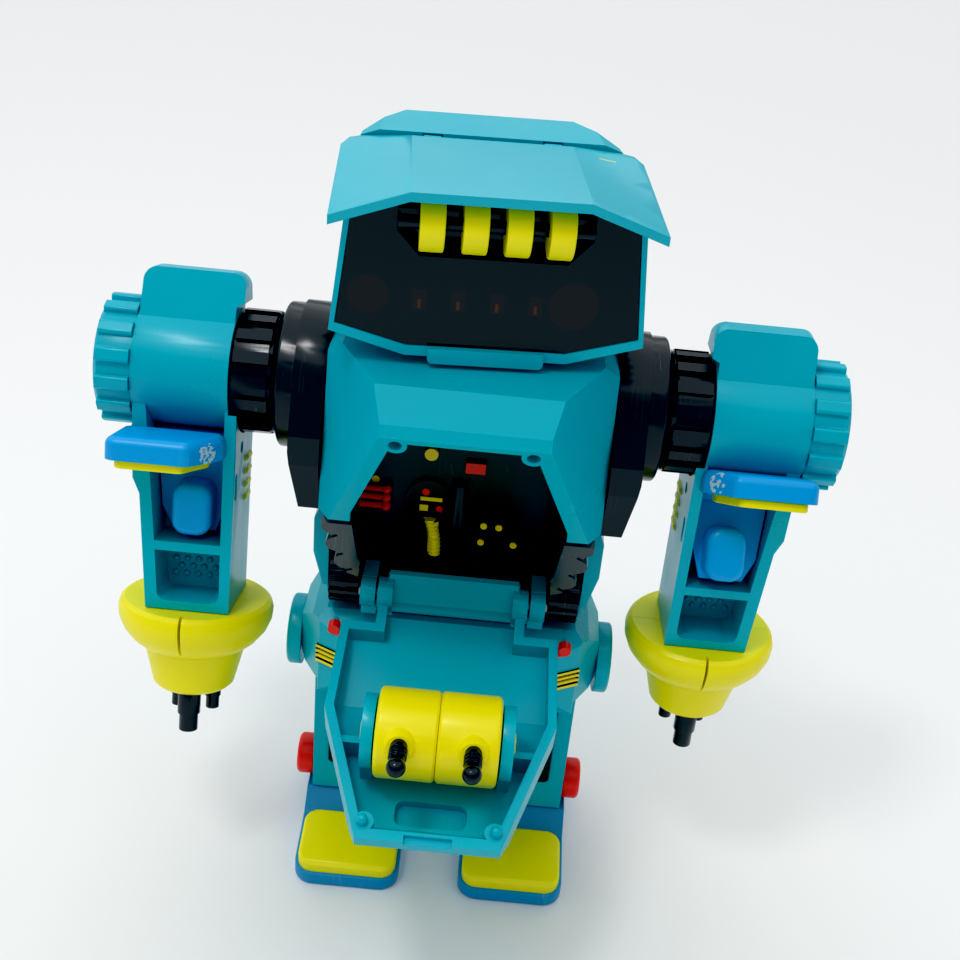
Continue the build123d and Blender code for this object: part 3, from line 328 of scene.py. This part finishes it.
def instrument_plastic():
    """Dark head instruments with faint orange marks seen through the smoked window."""
    material = moulded_plastic("instrument_plastic", (0.03, 0.028, 0.024), 0.35, wear=0.3)
    tree, shader, where = shader_parts(material)
    marks = [(inside_box(tree, where, (x, -24, 181), (0.7, 12, 2.2)), (0.30, 0.10, 0.01))
             for x in (-14, -5, 5, 14)]
    painted(tree, shader, marks)
    return material


BY_SLOT = {
    "teal_plastic": TEAL, "black_plastic": BLACK, "yellow_plastic": YELLOW, "blue_plastic": BLUE,
    "red_plastic": RED, "textured_black": PAD_BLACK, "smoked_window": window_plastic(), "steel": STEEL,
}
SPECIAL = {
    "turret_left_half": DRUM_YELLOW, "turret_right_half": DRUM_YELLOW,
    "left_shoe": SHOE_BLUE, "right_shoe": SHOE_BLUE,
    "cockpit_liner": cockpit_plastic(), "cockpit_side_panels": PANEL_GREY,
    "pelvis_vents": vent_plastic(), "pelvis_front_shell": pelvis_plastic(),
    "instrument_panel": instrument_plastic(), "visor": visor_plastic(),
    "left_lever": lever_plastic("left", LEFT_HOOD_HIGHLIGHT), "right_lever": lever_plastic("right", RIGHT_HOOD_HIGHLIGHT),
}


def soften(node, width):
    """Round a piece's hard edges with modifiers, as a mould does."""
    weld = node.modifiers.new("weld", "WELD")
    weld.merge_threshold = 0.00001
    flat = node.modifiers.new("flat", "DECIMATE")
    flat.decimate_type = "DISSOLVE"
    flat.angle_limit = math.radians(1.0)
    edge = node.modifiers.new("edge", "BEVEL")
    edge.width = width * MM
    edge.segments = 3
    edge.limit_method = "ANGLE"
    edge.angle_limit = math.radians(24.0)
    edge.harden_normals = True
    edge.use_clamp_overlap = True


for part in frame["record"]["subparts"]:
    node = NODES[part["node"]]
    if part["node"] not in SKIP:
        soften(node, SOFT.get(part["node"], SMALL))
    material = SPECIAL.get(part["node"], BY_SLOT[part["material_slot"]])
    for slot in node.material_slots:
        slot.material = material


# ---------------------------------------------------------------- extra pieces on the arms
SHOULDER = on_robot(0, 0, SHOULDER_Z)


def arm_point(side, x, y, z):
    """World place of a point given in the hanging arm's own millimetres, from the shoulder."""
    swing = math.radians(SWINGS[side])
    mirror = 1 if side == "left" else -1
    across = Vector((mirror * x * MM, 0, 0))
    level = Vector((0, (y * math.cos(swing) + z * math.sin(swing)) * MM, 0))
    height = Vector((0, 0, (-y * math.sin(swing) + z * math.cos(swing)) * MM))
    return SHOULDER + across + level + height


def yellow_piece(name, mesh, build, material, body):
    """Finish a swept mesh as a smooth yellow piece that rides on a body."""
    bmesh.ops.recalc_face_normals(build, faces=build.faces)
    build.to_mesh(mesh)
    build.free()
    for face in mesh.polygons:
        face.use_smooth = len(face.vertices) == 4
    piece = bpy.data.objects.new(name, mesh)
    piece.data.materials.append(material)
    bpy.context.scene.collection.objects.link(piece)
    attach(piece, body)


def arm_ribs(side):
    """Yellow grip ribs on the inner face of a forearm, each a low half-round bar."""
    mesh = bpy.data.meshes.new(side + "_arm_ribs")
    build = bmesh.new()
    steps = 8
    for height in RIB_HEIGHTS:
        rings = []
        for y, swell in RIB_SWELL:
            ring = []
            for step in range(steps + 1):
                angle = math.pi * step / steps
                x = RIB_X - RIB_RADIUS * swell * math.sin(angle)
                z = height + RIB_RADIUS * swell * math.cos(angle)
                ring.append(build.verts.new(arm_point(side, x, y, z)))
            rings.append(ring)
        for first, second in zip(rings, rings[1:]):
            for step in range(steps):
                build.faces.new((first[step], first[step + 1], second[step + 1], second[step]))
            build.faces.new((first[0], second[0], second[steps], first[steps]))
        build.faces.new(rings[0])
        build.faces.new(list(reversed(rings[-1])))
    yellow_piece(side + "_arm_ribs", mesh, build, YELLOW, side + "_arm")


def ribbed_hose():
    """Yellow ribbed hose that runs down the cockpit's wall from the dial."""
    mesh = bpy.data.meshes.new("cockpit_hose")
    build = bmesh.new()
    steps, sides, ribs = 56, 16, 9
    rings = []
    for step in range(steps + 1):
        part = step / steps
        centre = HOSE_TOP.lerp(HOSE_BOTTOM, part)
        centre.x += HOSE_BOW * math.sin(math.pi * part)
        radius = HOSE_RADIUS + HOSE_WAVE * math.cos(2 * math.pi * ribs * part)
        ring = []
        for index in range(sides):
            angle = 2 * math.pi * index / sides
            place = (centre.x + radius * math.cos(angle), centre.y + radius * math.sin(angle), centre.z)
            ring.append(build.verts.new(on_robot(*place)))
        rings.append(ring)
    for first, second in zip(rings, rings[1:]):
        for index in range(sides):
            after = (index + 1) % sides
            build.faces.new((first[index], first[after], second[after], second[index]))
    build.faces.new(rings[0])
    build.faces.new(list(reversed(rings[-1])))
    yellow_piece("cockpit_hose", mesh, build, DRUM_YELLOW, "torso")


ribbed_hose()
for side in SWINGS:
    arm_ribs(side)


# ---------------------------------------------------------------- stage, lights and camera
def make_floor():
    """Large pale floor."""
    bpy.ops.mesh.primitive_plane_add(size=8.0, location=(0, 0, 0))
    floor = bpy.context.object
    floor.name = "floor"
    material, tree, shader = new_material("floor")
    shader.inputs["Base Color"].default_value = (0.885, 0.89, 0.895, 1)
    shader.inputs["Roughness"].default_value = 0.6
    floor.data.materials.append(material)


def area_light(name, place, target, size, power):
    """Square soft light aimed at a point."""
    data = bpy.data.lights.new(name, "AREA")
    data.energy = power
    data.size = size
    light = bpy.data.objects.new(name, data)
    light.location = place
    light.rotation_euler = (Vector(target) - Vector(place)).to_track_quat("-Z", "Y").to_euler()
    bpy.context.scene.collection.objects.link(light)


def make_light():
    """Bright tent: a pale world, a wide soft sun from above and behind, and a small high lamp for glints."""
    scene = bpy.context.scene
    world = bpy.data.worlds.new("tent")
    world.use_nodes = True
    background = world.node_tree.nodes["Background"]
    background.inputs["Color"].default_value = (0.97, 0.99, 1.0, 1)
    background.inputs["Strength"].default_value = SKY_STRENGTH
    scene.world = world
    sun = bpy.data.lights.new("overhead", "SUN")
    sun.energy = SUN_ENERGY
    sun.angle = math.radians(SUN_SPREAD)
    lamp = bpy.data.objects.new("overhead", sun)
    lamp.rotation_euler = (math.radians(SUN_TILT[0]), math.radians(SUN_TILT[1]), 0)
    scene.collection.objects.link(lamp)
    area_light("glint", GLINT_PLACE, (0, 0, 0.12), GLINT_SIZE, GLINT_POWER)
    scene.view_settings.view_transform = "Standard"
    scene.view_settings.look = "Medium High Contrast"
    scene.view_settings.use_curve_mapping = True
    scene.view_settings.curve_mapping.black_level = (0.026, 0.020, 0.016)
    scene.view_settings.curve_mapping.update()


def make_camera():
    """Camera above and in front of the robot, looking 30 degrees down and tipped a little."""
    pitch, roll = math.radians(CAMERA_PITCH), math.radians(CAMERA_ROLL)
    forward = Vector((0, math.cos(pitch), -math.sin(pitch)))
    side = Vector((1, 0, 0))
    up = Vector((0, math.sin(pitch), math.cos(pitch)))
    right = side * math.cos(roll) + up * math.sin(roll)
    over = up * math.cos(roll) - side * math.sin(roll)
    turn = Matrix((right, over, -forward)).transposed()
    data = bpy.data.cameras.new("camera")
    data.sensor_width = 36.0
    data.lens = CAMERA_LENS
    camera = bpy.data.objects.new("camera", data)
    camera.matrix_world = Matrix.Translation(on_robot(*CAMERA_PLACE)) @ turn.to_4x4()
    bpy.context.scene.collection.objects.link(camera)
    bpy.context.scene.camera = camera


make_floor()
make_light()
make_camera()
